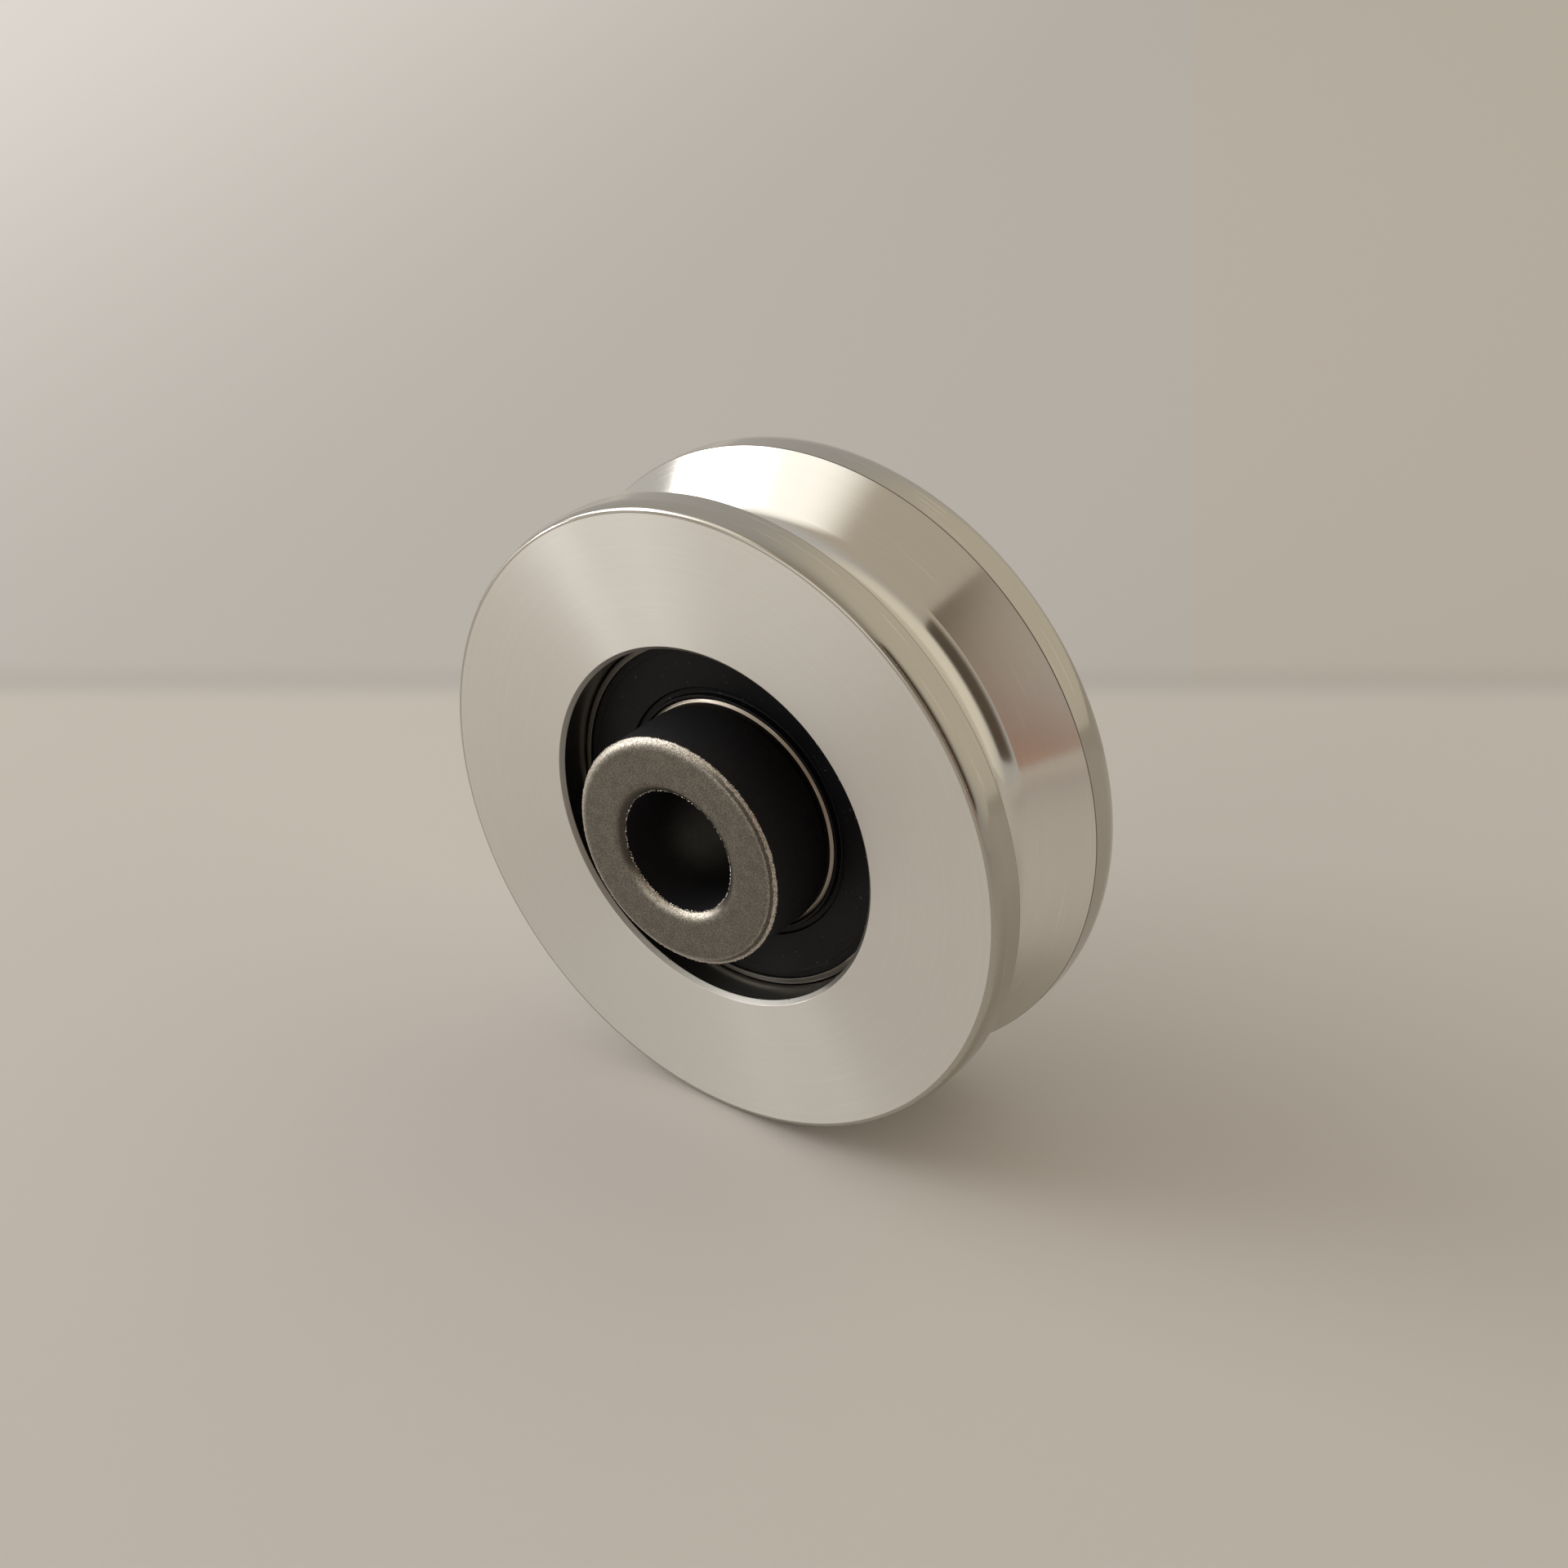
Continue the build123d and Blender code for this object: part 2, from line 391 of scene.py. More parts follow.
def turned_metal(name, base, roughness, anisotropy=0.0,
                 mark_height=0.0003, mark_fineness=16.0, mark_break=2.0):
    """Metal with tool marks, faint bands and a few scratches that run round the axle.

    The marks are mark_height mm high, mark_fineness of them lie in a mm, and a larger
    mark_break makes them shorter."""
    material, tree, shader = new_material(name)
    shader.inputs["Metallic"].default_value = 1.0
    marks = noise(tree, ring_vector(tree, mark_break, mark_fineness), 1.0, 3.0, 0.6)
    bands = noise(tree, ring_vector(tree, mark_break * 0.3, mark_fineness * 0.08), 1.0, 2.0)
    scratches = noise(tree, ring_vector(tree, 3.0, 8.0), 1.0, 1.0)
    smudge = noise(tree, object_coordinates(tree), 90.0, 4.0, 0.6)
    darker = color(base[0] * 0.9, base[1] * 0.9, base[2] * 0.89)
    banded = blend_colors(tree, ramp(tree, bands, 0.3, 0.7, 0.0, 0.15), color(*base), darker)
    scratched = ramp(tree, scratches, 0.70, 0.74, 0.0, 0.5)
    finished = blend_colors(tree, scratched, banded, color(0.98, 0.97, 0.95))
    put(tree, shader.inputs["Base Color"], finished)
    rough = calc(tree, "MULTIPLY_ADD", marks, roughness * 0.35, roughness * 0.7)
    rough = calc(tree, "MULTIPLY_ADD", smudge, roughness * 0.25, rough)
    put(tree, shader.inputs["Roughness"], rough)
    shader.inputs["Anisotropic"].default_value = anisotropy
    shader.inputs["Anisotropic Rotation"].default_value = 0.25
    tangent = tree.nodes.new("ShaderNodeTangent")
    tangent.direction_type = "RADIAL"
    tangent.axis = "Y"
    tree.links.new(tangent.outputs[0], shader.inputs["Tangent"])
    put(tree, shader.inputs["Normal"], bump(tree, marks, mark_height * MM))
    return material


def moulded_rubber():
    """Matt black rubber with a fine skin and a little dust."""
    material, tree, shader = new_material("seal_rubber")
    coordinates = object_coordinates(tree)
    skin = noise(tree, coordinates, 2600.0, 3.0, 0.6)
    cloud = noise(tree, coordinates, 160.0, 3.0, 0.5)
    dust = ramp(tree, noise(tree, coordinates, 3600.0, 1.0), 0.74, 0.80)
    black = blend_colors(tree, cloud, color(0.003, 0.003, 0.004), color(0.007, 0.007, 0.009))
    dusty = blend_colors(tree, dust, black, color(0.10, 0.095, 0.09))
    put(tree, shader.inputs["Base Color"], dusty)
    put(tree, shader.inputs["Roughness"], calc(tree, "MULTIPLY_ADD", cloud, 0.2, 0.34))
    shader.inputs["Specular IOR Level"].default_value = 0.2
    put(tree, shader.inputs["Normal"], bump(tree, skin, 0.006 * MM))
    return material


def bush_finish():
    """Black steel whose end face and its rounded edges are worn to bare, grainy metal, with a painted
    highlight at the bottom of the mouth and painted shade round the right of the outer edge.
    """
    material, tree, shader = new_material("bush_steel")
    black = color(0.018, 0.018, 0.021)
    dark_grain, light_grain = color(0.085, 0.077, 0.066), color(0.34, 0.315, 0.275)
    x, y, z, radius = place(tree)
    coordinates = object_coordinates(tree)
    grain = noise(tree, coordinates, 8200.0, 3.0, 0.7)
    coarse = noise(tree, coordinates, 1100.0, 3.0, 0.6)
    depth = calc(tree, "SUBTRACT", bush_end * MM, calc(tree, "ABSOLUTE", y))
    ragged = calc(tree, "MULTIPLY_ADD", coarse, 0.25 * MM, depth)
    bare = ramp(tree, ragged, 0.66 * MM, 0.74 * MM, 1.0, 0.0)

    # The flat of the end
    face = blend_colors(tree, ramp(tree, grain, 0.3, 0.7), dark_grain, light_grain)
    patches = ramp(tree, coarse, 0.3, 0.75, 0.0, 0.45)
    face = blend_colors(tree, patches, face, color(0.12, 0.11, 0.094))

    # The rounded edges: worn bright all round the outside, and a painted highlight at the bottom of the
    # mouth
    bright_wear_and_highlight = blend_colors(
        tree, ramp(tree, grain, 0.36, 0.58), color(0.20, 0.18, 0.155), color(0.66, 0.61, 0.54),
    )
    on_outside = ramp(tree, radius, 9.0 * MM, 9.5 * MM)
    # Painted highlight: the lowest side of the mouth is lighter, as if it caught the window
    painted_highlight_low_side = ramp(tree, calc(tree, "DIVIDE", z, radius), -0.95, -0.45, 1.0, 0.0)
    bright_wear_and_highlight = blend_colors(tree, calc(tree, "MAXIMUM", on_outside, painted_highlight_low_side), dark_grain, bright_wear_and_highlight)
    worn = blend_colors(tree, ramp(tree, depth, 0.02 * MM, 0.3 * MM), face, bright_wear_and_highlight)

    # Painted shade: a dark band round the right half of the outer edge
    to_right = ramp(tree, calc(tree, "DIVIDE", x, radius), 0.1, 0.6)
    band_start = ramp(tree, depth, 0.14 * MM, 0.2 * MM)
    band_end = ramp(tree, ragged, 0.44 * MM, 0.52 * MM, 1.0, 0.0)
    painted_shade_band = calc(tree, "MULTIPLY", calc(tree, "MULTIPLY", band_start, band_end),
                calc(tree, "MULTIPLY", to_right, on_outside))
    worn = blend_colors(tree, calc(tree, "MULTIPLY", painted_shade_band, 0.8), worn, color(0.03, 0.028, 0.025))

    put(tree, shader.inputs["Base Color"], blend_colors(tree, bare, black, worn))
    put(tree, shader.inputs["Metallic"], calc(tree, "MULTIPLY", bare, 0.9))
    bare_rough = ramp(tree, grain, 0.3, 0.7, 0.46, 0.34)
    black_rough = calc(tree, "MULTIPLY_ADD", coarse, 0.15, 0.38)
    rough = calc(tree, "ADD", calc(tree, "MULTIPLY", bare_rough, bare),
                 calc(tree, "MULTIPLY", black_rough, calc(tree, "SUBTRACT", 1.0, bare)))
    put(tree, shader.inputs["Roughness"], rough)
    shader.inputs["Specular IOR Level"].default_value = 0.22
    coarse_bump = bump(tree, coarse, 0.02 * MM)
    put(tree, shader.inputs["Normal"], bump(tree, grain, 0.016 * MM, coarse_bump))
    return material


def pressed_steel():
    """Plain pressed sheet for the cage and its rivets."""
    material, tree, shader = new_material("cage_steel")
    shader.inputs["Metallic"].default_value = 1.0
    cloud = noise(tree, object_coordinates(tree), 700.0, 3.0, 0.6)
    put(tree, shader.inputs["Base Color"],
        blend_colors(tree, cloud, color(0.42, 0.40, 0.37), color(0.58, 0.56, 0.53)))
    put(tree, shader.inputs["Roughness"], calc(tree, "MULTIPLY_ADD", cloud, 0.2, 0.25))
    put(tree, shader.inputs["Normal"], bump(tree, cloud, 0.01 * MM))
    return material


def ball_steel():
    """Lapped ball steel, nearly a mirror."""
    material, tree, shader = new_material("ball_steel")
    shader.inputs["Metallic"].default_value = 1.0
    cloud = noise(tree, object_coordinates(tree), 500.0, 2.0, 0.5)
    put(tree, shader.inputs["Base Color"],
        blend_colors(tree, cloud, color(0.60, 0.59, 0.57), color(0.68, 0.67, 0.65)))
    put(tree, shader.inputs["Roughness"], calc(tree, "MULTIPLY_ADD", cloud, 0.05, 0.05))
    return material


face_finish = turned_metal(
    "turned_face", (0.89, 0.885, 0.86), roughness=0.34, anisotropy=0.88,
    mark_height=0.0006, mark_fineness=26.0, mark_break=0.25,
)
groove_finish = turned_metal(
    "polished_groove", (0.80, 0.78, 0.74), roughness=0.13, anisotropy=0.3,
    mark_fineness=12.0, mark_break=0.4,
)
land_finish = turned_metal(
    "turned_land", (0.53, 0.505, 0.46), roughness=0.13, anisotropy=0.3,
    mark_height=0.0002, mark_fineness=14.0, mark_break=0.4,
)
seat_finish = turned_metal(
    "bored_seat", (0.25, 0.24, 0.225), roughness=0.22, mark_height=0.0002, mark_fineness=8.0,
)
cut_edge = turned_metal("cut_edge", (0.44, 0.43, 0.41), roughness=0.5, mark_fineness=20.0)
# Painted shade: a dark finish on the groove's lips stands in for the dark line where each land meets the
# groove; the burrs at the hole's edge share it
lip_edge_shade = turned_metal("lip_edge_shade", (0.26, 0.25, 0.23), roughness=0.3, mark_fineness=20.0)
ground_steel = turned_metal("ground_steel", (0.35, 0.31, 0.265), roughness=0.32)
flake_steel = turned_metal("flake_steel", (0.90, 0.86, 0.78), roughness=0.28)
dull_steel = turned_metal("dull_steel", (0.17, 0.16, 0.145), roughness=0.3)
rubber = moulded_rubber()
bush_steel = bush_finish()
cage_steel = pressed_steel()
polished_steel = ball_steel()


# Wear, made with Geometry Nodes

def new_geometry_tree(name, inputs):
    """A geometry tree with its inputs (label, kind, value), its input node and its output node."""
    tree = bpy.data.node_groups.new(name, "GeometryNodeTree")
    sockets = tree.interface
    sockets.new_socket("Geometry", in_out="INPUT", socket_type="NodeSocketGeometry")
    for label, kind, value in inputs:
        socket = sockets.new_socket(label, in_out="INPUT", socket_type="NodeSocket" + kind)
        if value is not None:
            socket.default_value = value
    sockets.new_socket("Geometry", in_out="OUTPUT", socket_type="NodeSocketGeometry")
    return tree, tree.nodes.new("NodeGroupInput"), tree.nodes.new("NodeGroupOutput")


def worn_end_tree():
    """Roughens a bush: fine grain on its ends, burrs along the foot of their rounded edges."""
    tree, given, result = new_geometry_tree("worn_end", (
        ("End station", "Float", bush_end * MM),
        ("Grain height", "Float", 0.02 * MM),
        ("Grain scale", "Float", 2200.0),
        ("Burr height", "Float", 0.09 * MM),
        ("Burr scale", "Float", 1500.0),
        ("Burr depth", "Float", end_round_height * MM),
    ))
    grain_reach, grain_fade = 0.6 * MM, 0.2 * MM
    burr_core, burr_reach = 0.02 * MM, 0.16 * MM
    sink = 0.012 * MM
    nodes, links = tree.nodes, tree.links
    position = nodes.new("GeometryNodeInputPosition").outputs[0]
    normal = nodes.new("GeometryNodeInputNormal").outputs[0]

    def lumps(scale, detail, height):
        centred = calc(tree, "SUBTRACT", noise(tree, position, scale, detail), 0.5)
        return calc(tree, "MULTIPLY", centred, height)

    split = nodes.new("ShaderNodeSeparateXYZ")
    links.new(position, split.inputs[0])
    station = calc(tree, "ABSOLUTE", split.outputs[1])
    depth = calc(tree, "SUBTRACT", given.outputs["End station"], station)
    on_end = ramp(tree, depth, grain_reach, grain_reach + grain_fade, 1.0, 0.0)
    from_edge = calc(tree, "SUBTRACT", depth, given.outputs["Burr depth"])
    on_edge = ramp(tree, calc(tree, "ABSOLUTE", from_edge), burr_core, burr_reach, 1.0, 0.0)
    grain = lumps(given.outputs["Grain scale"], 3.0, given.outputs["Grain height"])
    burr = lumps(given.outputs["Burr scale"], 2.0, given.outputs["Burr height"])
    height = calc(tree, "ADD", calc(tree, "MULTIPLY", grain, on_end), calc(tree, "MULTIPLY", burr, on_edge))
    height = calc(tree, "SUBTRACT", height, calc(tree, "MULTIPLY", on_end, sink))
    move = nodes.new("GeometryNodeSetPosition")
    links.new(given.outputs["Geometry"], move.inputs["Geometry"])
    links.new(scaled(tree, normal, height), move.inputs["Offset"])
    links.new(move.outputs[0], result.inputs[0])
    return tree


def burr_tree():
    """Scatters small flakes along one circle about the axle."""
    tree, given, result = new_geometry_tree("edge_burrs", (
        ("Radius", "Float", 6.0 * MM),
        ("Station", "Float", 0.0),
        ("Flakes", "Int", 200),
        ("Flake size", "Float", 0.03 * MM),
        ("Spread", "Float", 0.02 * MM),
        ("Seed", "Int", 1),
        ("Material", "Material", None),
    ))
    full_turn = 6.28
    flattest, fullest = (0.25, 0.25, 0.25), (1.5, 1.0, 0.8)
    nodes, links = tree.nodes, tree.links

    def scatter(low, high, seed_shift):
        node = nodes.new("FunctionNodeRandomValue")
        node.data_type = "FLOAT_VECTOR"
        node.inputs["Min"].default_value = low
        node.inputs["Max"].default_value = high
        links.new(calc(tree, "ADD", given.outputs["Seed"], seed_shift), node.inputs["Seed"])
        return node.outputs[0]

    circle = nodes.new("GeometryNodeMeshCircle")
    links.new(given.outputs["Flakes"], circle.inputs["Vertices"])
    links.new(given.outputs["Radius"], circle.inputs["Radius"])
    station = nodes.new("ShaderNodeCombineXYZ")
    links.new(given.outputs["Station"], station.inputs[1])
    stand = nodes.new("GeometryNodeTransform")
    links.new(circle.outputs[0], stand.inputs["Geometry"])
    links.new(station.outputs[0], stand.inputs["Translation"])
    stand.inputs["Rotation"].default_value = (math.pi / 2, 0, 0)
    move = nodes.new("GeometryNodeSetPosition")
    links.new(stand.outputs[0], move.inputs["Geometry"])
    shift = scaled(tree, scatter((-1, -1, -1), (1, 1, 1), 11), given.outputs["Spread"])
    links.new(shift, move.inputs["Offset"])
    flake = nodes.new("GeometryNodeMeshIcoSphere")
    links.new(given.outputs["Flake size"], flake.inputs["Radius"])
    flake.inputs["Subdivisions"].default_value = 1
    strew = nodes.new("GeometryNodeInstanceOnPoints")
    links.new(move.outputs[0], strew.inputs["Points"])
    links.new(flake.outputs["Mesh"], strew.inputs["Instance"])
    links.new(scatter((0, 0, 0), (full_turn, full_turn, full_turn), 23), strew.inputs["Rotation"])
    links.new(scatter(flattest, fullest, 37), strew.inputs["Scale"])
    real = nodes.new("GeometryNodeRealizeInstances")
    links.new(strew.outputs[0], real.inputs[0])
    coat = nodes.new("GeometryNodeSetMaterial")
    links.new(real.outputs[0], coat.inputs["Geometry"])
    links.new(given.outputs["Material"], coat.inputs["Material"])
    join = nodes.new("GeometryNodeJoinGeometry")
    links.new(coat.outputs[0], join.inputs[0])
    links.new(given.outputs["Geometry"], join.inputs[0])
    links.new(join.outputs[0], result.inputs[0])
    return tree


worn_end = worn_end_tree()
edge_burrs = burr_tree()


def bake_nodes(piece, steps):
    """Runs geometry trees on a piece, each with its inputs, and keeps the result as a plain mesh."""
    made = []
    for tree, values in steps:
        modifier = piece.modifiers.new(tree.name, "NODES")
        modifier.node_group = tree
        for socket in tree.interface.items_tree:
            if socket.name in values:
                modifier[socket.identifier] = values[socket.name]
        made.append(modifier)
    bpy.context.view_layer.update()
    done = piece.evaluated_get(bpy.context.evaluated_depsgraph_get())
    mesh = bpy.data.meshes.new_from_object(done)
    for modifier in made:
        piece.modifiers.remove(modifier)
    mesh.name = piece.name
    piece.data = mesh


# Pieces

def pulley_wheel():
    """The wheel, with each of its stretches in its own finish."""
    face, land, groove, seat, cut, lip = range(6)
    front_rim = [(r, y, 0, land) for r, y in rolled_rim(FRONT)]
    rear_rim = [(r, y, 0, land) for r, y in rolled_rim(REAR)[::-1]]
    rear_rim[-1] = (*rear_rim[-1][:3], face)
    front_half = [
        (seat_radius + seat_chamfer, -half_width, edge_break, face),
        *front_rim,
        (rim_radius, -groove_half, groove_lip_radius, groove, lip),
    ]
    rear_half = [
        (rim_radius, groove_half, groove_lip_radius, land, lip),
        *rear_rim,
        (rear_hole_radius + rear_hole_chamfer, half_width, edge_break, cut),
        (rear_hole_radius, half_width - rear_hole_chamfer, edge_break, seat),
        (rear_hole_radius, bearing_rear, edge_break, seat),
        (seat_radius, bearing_rear, edge_break, seat),
        (seat_radius, -half_width + seat_chamfer, edge_break, cut),
    ]
    root = [(rim_radius - groove_depth, 0.0, groove_root_radius, groove)]
    points, finishes = section(front_half + root + rear_half)
    finish_set = [face_finish, land_finish, groove_finish, seat_finish, cut_edge, lip_edge_shade]
    wheel = turned("aluminium_wheel", points, finishes, finish_set, wheel_segments)
    hole_burrs = {
        "Radius": (seat_radius + 0.02) * MM, "Station": (seat_chamfer - half_width) * MM,
        "Flakes": 30, "Flake size": 0.11 * MM, "Spread": 0.05 * MM, "Seed": 3, "Material": lip_edge_shade,
    }
    rounding_point = 6
    edge_radius, edge_station = rolled_rim(FRONT)[rounding_point]
    rim_burrs = {
        "Radius": edge_radius * MM, "Station": edge_station * MM,
        "Flakes": 420, "Flake size": 0.035 * MM, "Spread": 0.06 * MM, "Seed": 7, "Material": land_finish,
    }
    bake_nodes(wheel, [(edge_burrs, hole_burrs), (edge_burrs, rim_burrs)])
    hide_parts("pulley_wheel")
    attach(wheel, "wheel")


def outer_ring():
    """The bearing's outer ring, with the hooked seats of the seals."""
    def corners(side):
        face = bearing_middle + side * bearing_half
        return [
            (bearing_radius, face, ring_corner),
            (seal_outer - seal_hook, face, ring_break),
            (seal_outer - seal_hook, face - side * seal_hook_height, ring_break),
            (seal_outer, face - side * (seal_hook_height + seal_hook), ring_break),
            (seal_outer, face - side * seal_thickness, ring_break),
            (outer_land, face - side * seal_thickness, ring_break),
            (outer_land, bearing_middle + side * race_half_width, race_break),
        ]

    raceway = (outer_race, bearing_middle, race_rounding)
    ring = turned("outer_ring", *plain_section(both_sides(corners, raceway)), [dull_steel], ring_segments)
    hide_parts("bearing_outer_ring")
    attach(ring, "wheel")


def inner_ring():
    """The bearing's inner ring, chamfered beside the seals."""
    def corners(side):
        face = bearing_middle + side * bearing_half
        return [
            (bearing_bore_radius, face, ring_corner),
            (inner_land - land_chamfer_width, face, 0.15),
            (inner_land, face - side * land_chamfer_depth, 0.1),
            (inner_land, bearing_middle + side * race_half_width, race_break),
        ]

    raceway = (inner_race, bearing_middle, race_rounding)
    ring = turned("inner_ring", *plain_section(both_sides(corners, raceway)), [ground_steel], ring_segments)
    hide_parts("bearing_inner_ring")
    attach(ring, "axle_set")


def seal(side, name, node):
    """A moulded rubber seal with its lip, channel, web and bead."""
    face = bearing_front if side == FRONT else bearing_rear
    soft, crisp, back_edge = 0.12, 0.05, 0.1
    inner = inner_land + seal_lip_gap
    lip_end = inner + seal_lip_width
    channel_end = lip_end + seal_channel_width
    outer = seal_outer - seal_clearance
    hook = seal_hook + seal_clearance
    bead_start = outer - hook - seal_bead_width

    def deep(depth):
        return face - side * depth

    corners = [
        (inner, deep(seal_clearance), 0.06),
        (lip_end, deep(seal_clearance), soft),
        (lip_end, deep(seal_channel_depth), soft),
        (channel_end, deep(seal_channel_depth), soft),
        (channel_end, deep(seal_web_depth), soft),
        (bead_start, deep(seal_web_depth), crisp),
        (bead_start, deep(seal_bead_depth), crisp),
        (outer - hook, deep(seal_bead_depth), crisp),
        (outer, deep(seal_hook_height + hook + seal_clearance), crisp),
        (outer, deep(seal_thickness - seal_clearance), back_edge),
        (inner, deep(seal_thickness - seal_clearance), back_edge),
    ]
    piece = turned(name, *plain_section(corners), [rubber], ring_segments)
    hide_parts(node)
    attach(piece, "wheel")


def bush(side, name, node):
    """A top-hat bush: worn end, rounded edges, black sides, and its spigot in the bearing."""
    face = bearing_front if side == FRONT else bearing_rear
    end = side * bush_end
    spigot_end = bearing_middle + side * spigot_half_gap
    arc_steps, flat_steps = 16, 33
    guard, chamfer_guard = 0.06, 0.03
    bore_depths = (mouth_round_height + guard, 1.2, 4.0)
    side_depths = (2.0, end_round_height + guard)

    def deep(depth):
        return end - side * depth

    outer_round = arc_between(
        (bush_radius, deep(end_round_height)), (bush_radius - end_round_width, end),
        end_round_radius, side, arc_steps,
    )
    mouth = arc_between(
        (axle_bore_radius + mouth_round_width, end), (axle_bore_radius, deep(mouth_round_height)),
        mouth_round_radius, side, arc_steps,
    )
    flat = [between(outer_round[-1], mouth[0], step / flat_steps) for step in range(1, flat_steps)]
    bore = [(axle_bore_radius, deep(depth)) for depth in bore_depths]
    spigot = [
        (axle_bore_radius, spigot_end),
        (spigot_radius - spigot_chamfer, spigot_end),
        (spigot_radius, spigot_end + side * spigot_chamfer),
        (spigot_radius, face),
    ]
    head = [
        (bush_radius - head_base_chamfer, face),
        (bush_radius - head_base_chamfer + chamfer_guard, face + side * chamfer_guard),
        (bush_radius - chamfer_guard, face + side * (head_base_chamfer - chamfer_guard)),
        (bush_radius, face + side * head_base_chamfer),
        *[(bush_radius, deep(depth)) for depth in side_depths],
    ]
    points = outer_round + flat + mouth + bore + spigot + head
    piece = turned(name, points, [0] * len(points), [bush_steel], bush_segments)
    mouth_burrs = {
        "Radius": (axle_bore_radius + 0.03) * MM, "Station": deep(mouth_round_height) * MM,
        "Flakes": 330, "Flake size": 0.085 * MM, "Spread": 0.05 * MM, "Seed": 5, "Material": flake_steel,
    }
    edge_flakes = {
        "Radius": (bush_radius - 0.05) * MM, "Station": deep(end_round_height) * MM,
        "Flakes": 420, "Flake size": 0.07 * MM, "Spread": 0.04 * MM, "Seed": 9, "Material": flake_steel,
    }
    bake_nodes(piece, [(worn_end, {}), (edge_burrs, mouth_burrs), (edge_burrs, edge_flakes)])
    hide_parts(node)
    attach(piece, "axle_set")


pulley_wheel()
outer_ring()
inner_ring()
seal(FRONT, "front_rubber_seal", "front_seal")
seal(REAR, "rear_rubber_seal", "rear_seal")
bush(FRONT, "front_steel_bush", "front_bush")
bush(REAR, "rear_steel_bush", "rear_bush")

for node_name, node_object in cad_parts.items():
    if node_name.startswith("ball_"):
        node_object.data.materials.clear()
        node_object.data.materials.append(polished_steel)
    if "cage" in node_name:
        node_object.data.materials.clear()
        node_object.data.materials.append(cage_steel)


# Stage, in metres

camera_azimuth = math.radians(37.0)
camera_elevation = math.radians(31.24)


def pale_floor():
    """A pale floor. Past a soft crease its colour steps to that of a backdrop, which has one fold. Painted
    shade darkens the crease, the two sides of the fold are painted in different light, and the backdrop is
    painted lighter towards the far left.
    """
    size = 3.0
    level = -rim_radius * MM
    backdrop_start, backdrop_full = 0.071, 0.079
    crease_place, crease_width = 0.076, 0.006
    fold_slope, fold_offset, fold_softness = 0.1385, 0.0412, 0.0006
    mesh = bpy.data.meshes.new("floor")
    mesh.from_pydata(
        [(-size, -size, level), (size, -size, level), (size, size, level), (-size, size, level)],
        [], [(0, 1, 2, 3)],
    )
    floor = bpy.data.objects.new("floor", mesh)
    bpy.context.scene.collection.objects.link(floor)
    material, tree, shader = new_material("paper")
    cloud = noise(tree, object_coordinates(tree), 9.0, 3.0, 0.5)
    paper = blend_colors(tree, cloud, color(0.70, 0.675, 0.655), color(0.75, 0.725, 0.705))
    x, y = place(tree)[:2]
    cos, sin = math.cos(camera_azimuth), math.sin(camera_azimuth)
    ahead = calc(tree, "MULTIPLY_ADD", x, -sin, calc(tree, "MULTIPLY", y, cos))
    right = calc(tree, "MULTIPLY_ADD", x, cos, calc(tree, "MULTIPLY", y, sin))
    far_left = calc(tree, "MULTIPLY_ADD", x, -1.1, calc(tree, "MULTIPLY", y, -0.2))
    # Painted shade: the two sides of the backdrop's fold get different tones, as if lit differently
    fold_line = calc(tree, "MULTIPLY_ADD", ahead, fold_slope, fold_offset)
    past_fold = ramp(tree, calc(tree, "SUBTRACT", right, fold_line), -fold_softness, fold_softness)
    backdrop_and_painted_light = blend_colors(tree, past_fold, color(0.645, 0.635, 0.64), color(0.66, 0.635, 0.60))
    # Painted light: the backdrop turns lighter towards the far left, on the window's side
    backdrop_and_painted_light = blend_colors(tree, ramp(tree, far_left, 0.10, 0.40), backdrop_and_painted_light, color(0.92, 0.925, 0.95))
    paper = blend_colors(tree, ramp(tree, ahead, backdrop_start, backdrop_full), paper, backdrop_and_painted_light)
    # Painted shade: a darker line along the crease where the floor meets the backdrop
    from_crease = calc(tree, "ABSOLUTE", calc(tree, "SUBTRACT", ahead, crease_place))
    crease_shade = ramp(tree, from_crease, 0.0, crease_width, 0.35, 0.0)
    put(tree, shader.inputs["Base Color"], blend_colors(tree, crease_shade, paper, color(0.5, 0.49, 0.48)))
    shader.inputs["Roughness"].default_value = 0.8
    mesh.materials.append(material)


def soft_light(name, direction, width, height, power):
    """A rectangular soft light that faces the wheel."""
    distance = 0.9
    lamp = bpy.data.lights.new(name, "AREA")
    lamp.shape = "RECTANGLE"
    lamp.size = width
    lamp.size_y = height
    lamp.energy = power
    lamp.color = (1.0, 0.985, 0.96)
    holder = bpy.data.objects.new(name, lamp)
    holder.location = Vector(direction).normalized() * distance
    holder.rotation_mode = "QUATERNION"
    holder.rotation_quaternion = Vector(direction).to_track_quat("Z", "Y")
    bpy.context.scene.collection.objects.link(holder)


def surroundings():
    """A room that is paler or warmer towards some directions, each with where it starts and is full."""
    world = bpy.data.worlds.new("room")
    bpy.context.scene.world = world
    world.use_nodes = True
    tree = world.node_tree
    background = tree.nodes["Background"]
    direction = tree.nodes.new("ShaderNodeTexCoord").outputs["Generated"]
    left_wall = (-0.9, 0.1, 0.3), 0.0, 0.9, (0.52, 0.50, 0.47)
    warm_corner = (0.45, 0.72, 0.52), 0.55, 0.95, (0.72, 0.65, 0.52)
    dim_ceiling = (0.0, -0.66, 0.75), 0.4, 1.0, (0.44, 0.38, 0.30)
    window_glow = (-0.64, -0.45, 0.59), 0.87, 0.985, (1.3, 1.25, 1.15)
    front_glow = (-0.22, -0.95, 0.22), 0.92, 0.98, (1.05, 1.01, 0.94)
    room = color(0.43, 0.40, 0.36)
    for middle, start, full, tint in (left_wall, warm_corner, dim_ceiling, window_glow, front_glow):
        share = ramp(tree, dot(tree, direction, middle), start, full)
        room = blend_colors(tree, share, room, color(*tint))
    tree.links.new(room, background.inputs["Color"])
    background.inputs["Strength"].default_value = 1.0


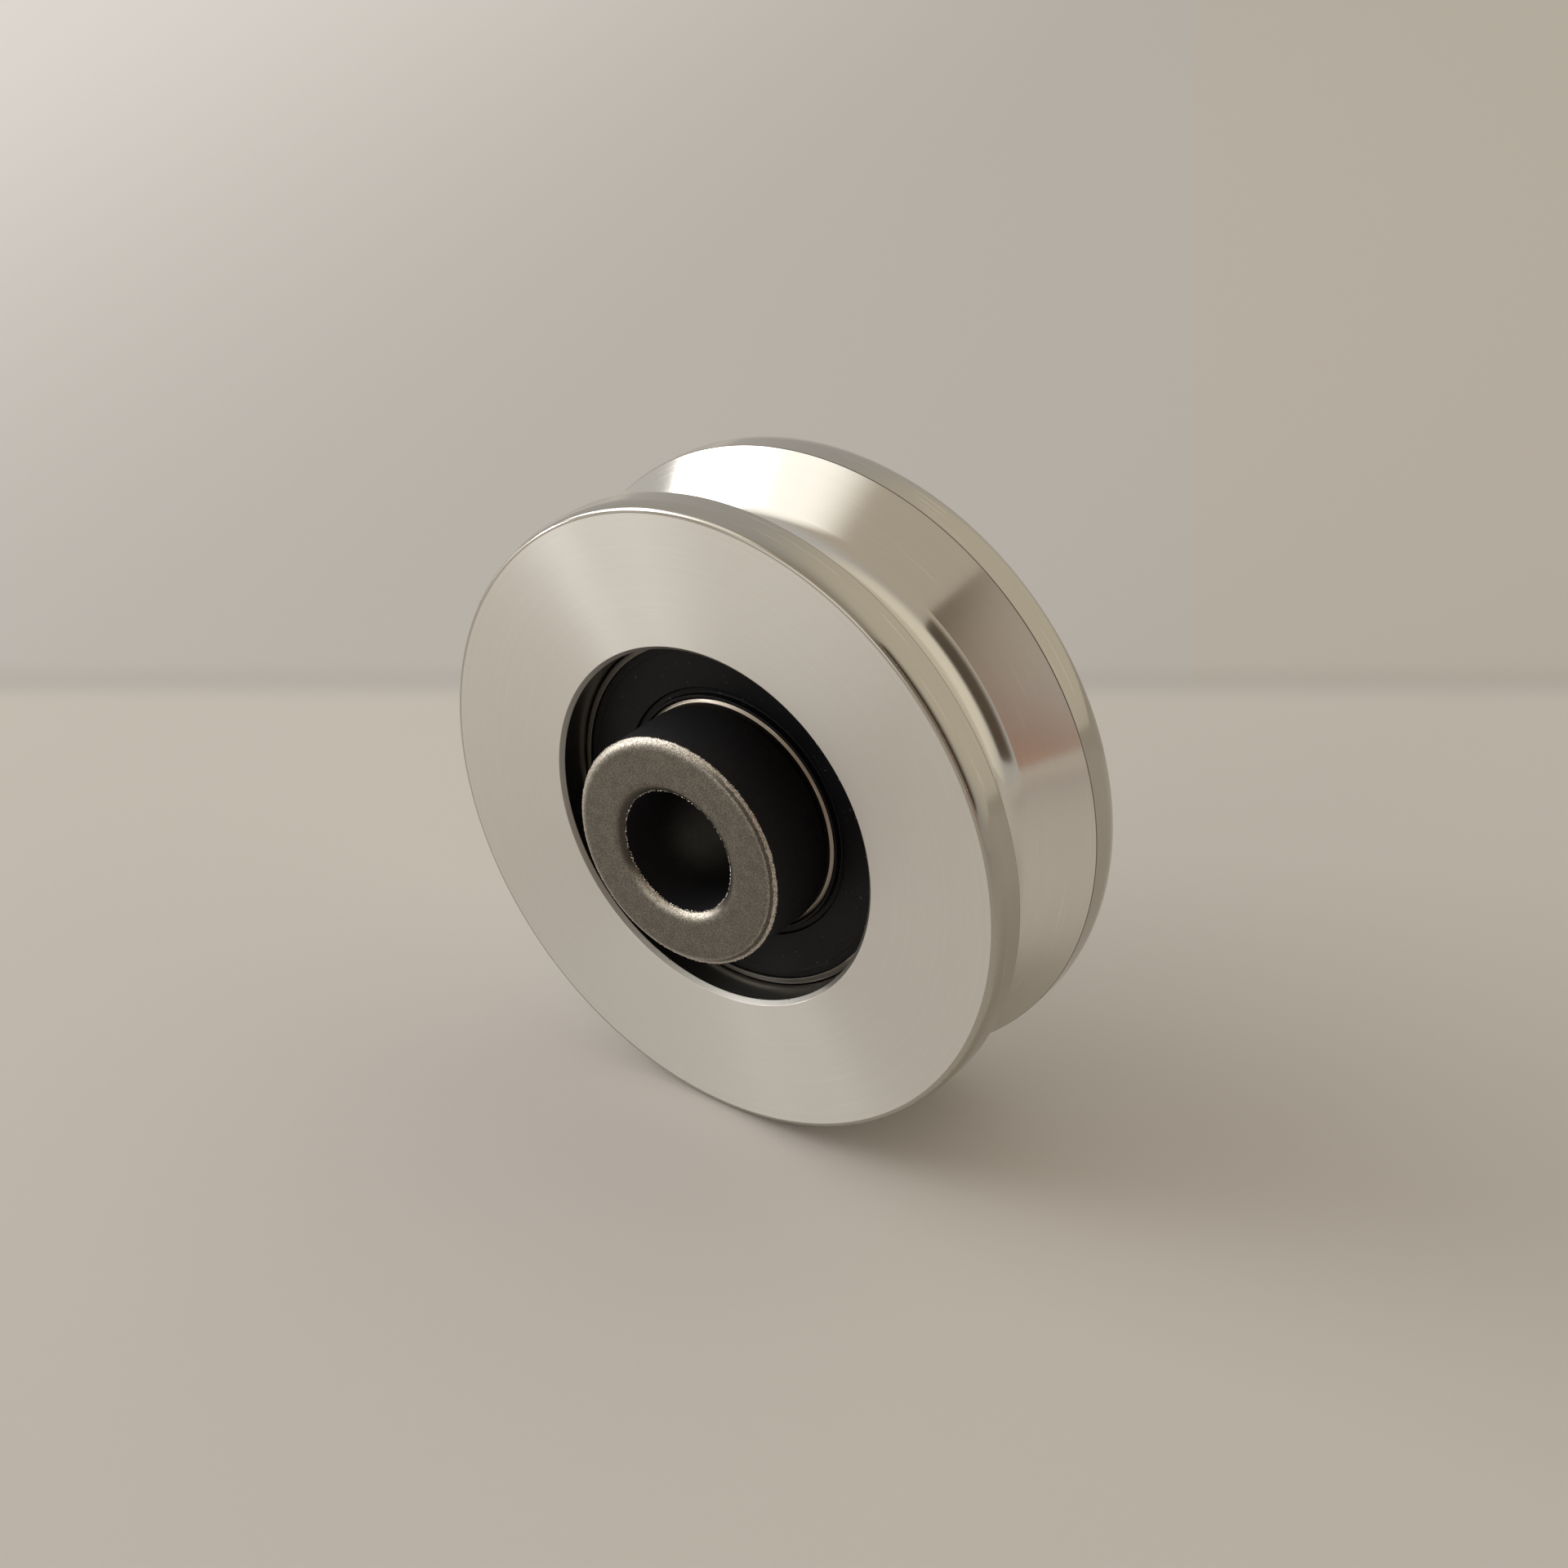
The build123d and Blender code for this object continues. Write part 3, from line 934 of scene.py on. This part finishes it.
def dark_card(name, low_end, high_end, spread, distance, softness, tint, top_tint):
    """A card from one direction up to another, with soft sides, which only reflections show.

    Its half width is spread times its distance, and softness is the share of it that fades."""
    low, high = Vector(low_end).normalized(), Vector(high_end).normalized()
    sideways = (high - low).cross(low + high).normalized()
    across = sideways * spread
    mesh = bpy.data.meshes.new(name)
    mesh.from_pydata(
        [tuple(corner * distance) for corner in (low - across, low + across, high + across, high - across)],
        [], [(0, 1, 2, 3)],
    )
    card = bpy.data.objects.new(name, mesh)
    bpy.context.scene.collection.objects.link(card)
    card.visible_camera = False
    card.visible_shadow = False
    material, tree, shader = new_material(name)
    height = place(tree)[2]
    rise = ramp(tree, height, low.z * distance, high.z * distance, smooth=False)
    put(tree, shader.inputs["Base Color"], blend_colors(tree, rise, color(*tint), color(*top_tint)))
    aside = calc(tree, "ABSOLUTE", dot(tree, object_coordinates(tree), sideways))
    edge = spread * distance
    put(tree, shader.inputs["Alpha"], ramp(tree, aside, edge * (1 - softness), edge, 1.0, 0.0))
    shader.inputs["Roughness"].default_value = 0.9
    mesh.materials.append(material)


def camera():
    """The photograph's viewpoint, from a fit of the wheel's circles.

    The picture is square, 1920 x 1920, and the focal length in its pixels is 3142.
    The camera's place is in rim radii from the wheel's centre."""
    picture, focal = 1920.0, 3142.0
    side_shift, drop, distance = -0.03106, 0.00553, 7.6857
    right = Vector((math.cos(camera_azimuth), math.sin(camera_azimuth), 0))
    ahead = Vector((
        -math.sin(camera_azimuth) * math.cos(camera_elevation),
        math.cos(camera_azimuth) * math.cos(camera_elevation),
        -math.sin(camera_elevation),
    ))
    up = right.cross(ahead)
    lens = bpy.data.cameras.new("camera")
    lens.sensor_width = 36.0
    lens.lens = lens.sensor_width * focal / picture
    lens.clip_start = 0.01
    lens.clip_end = 20.0
    holder = bpy.data.objects.new("camera", lens)
    holder.location = -(right * side_shift - up * drop + ahead * distance) * rim_radius * MM
    holder.rotation_mode = "QUATERNION"
    holder.rotation_quaternion = ahead.to_track_quat("-Z", "Y")
    bpy.context.scene.collection.objects.link(holder)
    bpy.context.scene.camera = holder


camera()
pale_floor()
surroundings()
soft_light("window", (-0.82, -0.34, 0.44), width=0.60, height=0.44, power=2.3)
soft_light("side_lamp", (-0.93, -0.37, 0.045), width=0.12, height=0.07, power=0.8)
dark_card(
    "brown_card", low_end=(0.77, -0.64, -0.055), high_end=(0.27, -0.72, 0.66),
    spread=0.17, distance=0.5, softness=0.15,
    tint=(0.66, 0.42, 0.33), top_tint=(0.15, 0.12, 0.085),
)
dark_card(
    "root_card", low_end=(0.93, -0.14, 0.12), high_end=(0.47, -0.16, 0.84),
    spread=0.42, distance=0.42, softness=0.55,
    tint=(0.13, 0.095, 0.07), top_tint=(0.10, 0.08, 0.058),
)

bpy.context.scene.view_settings.view_transform = "Standard"
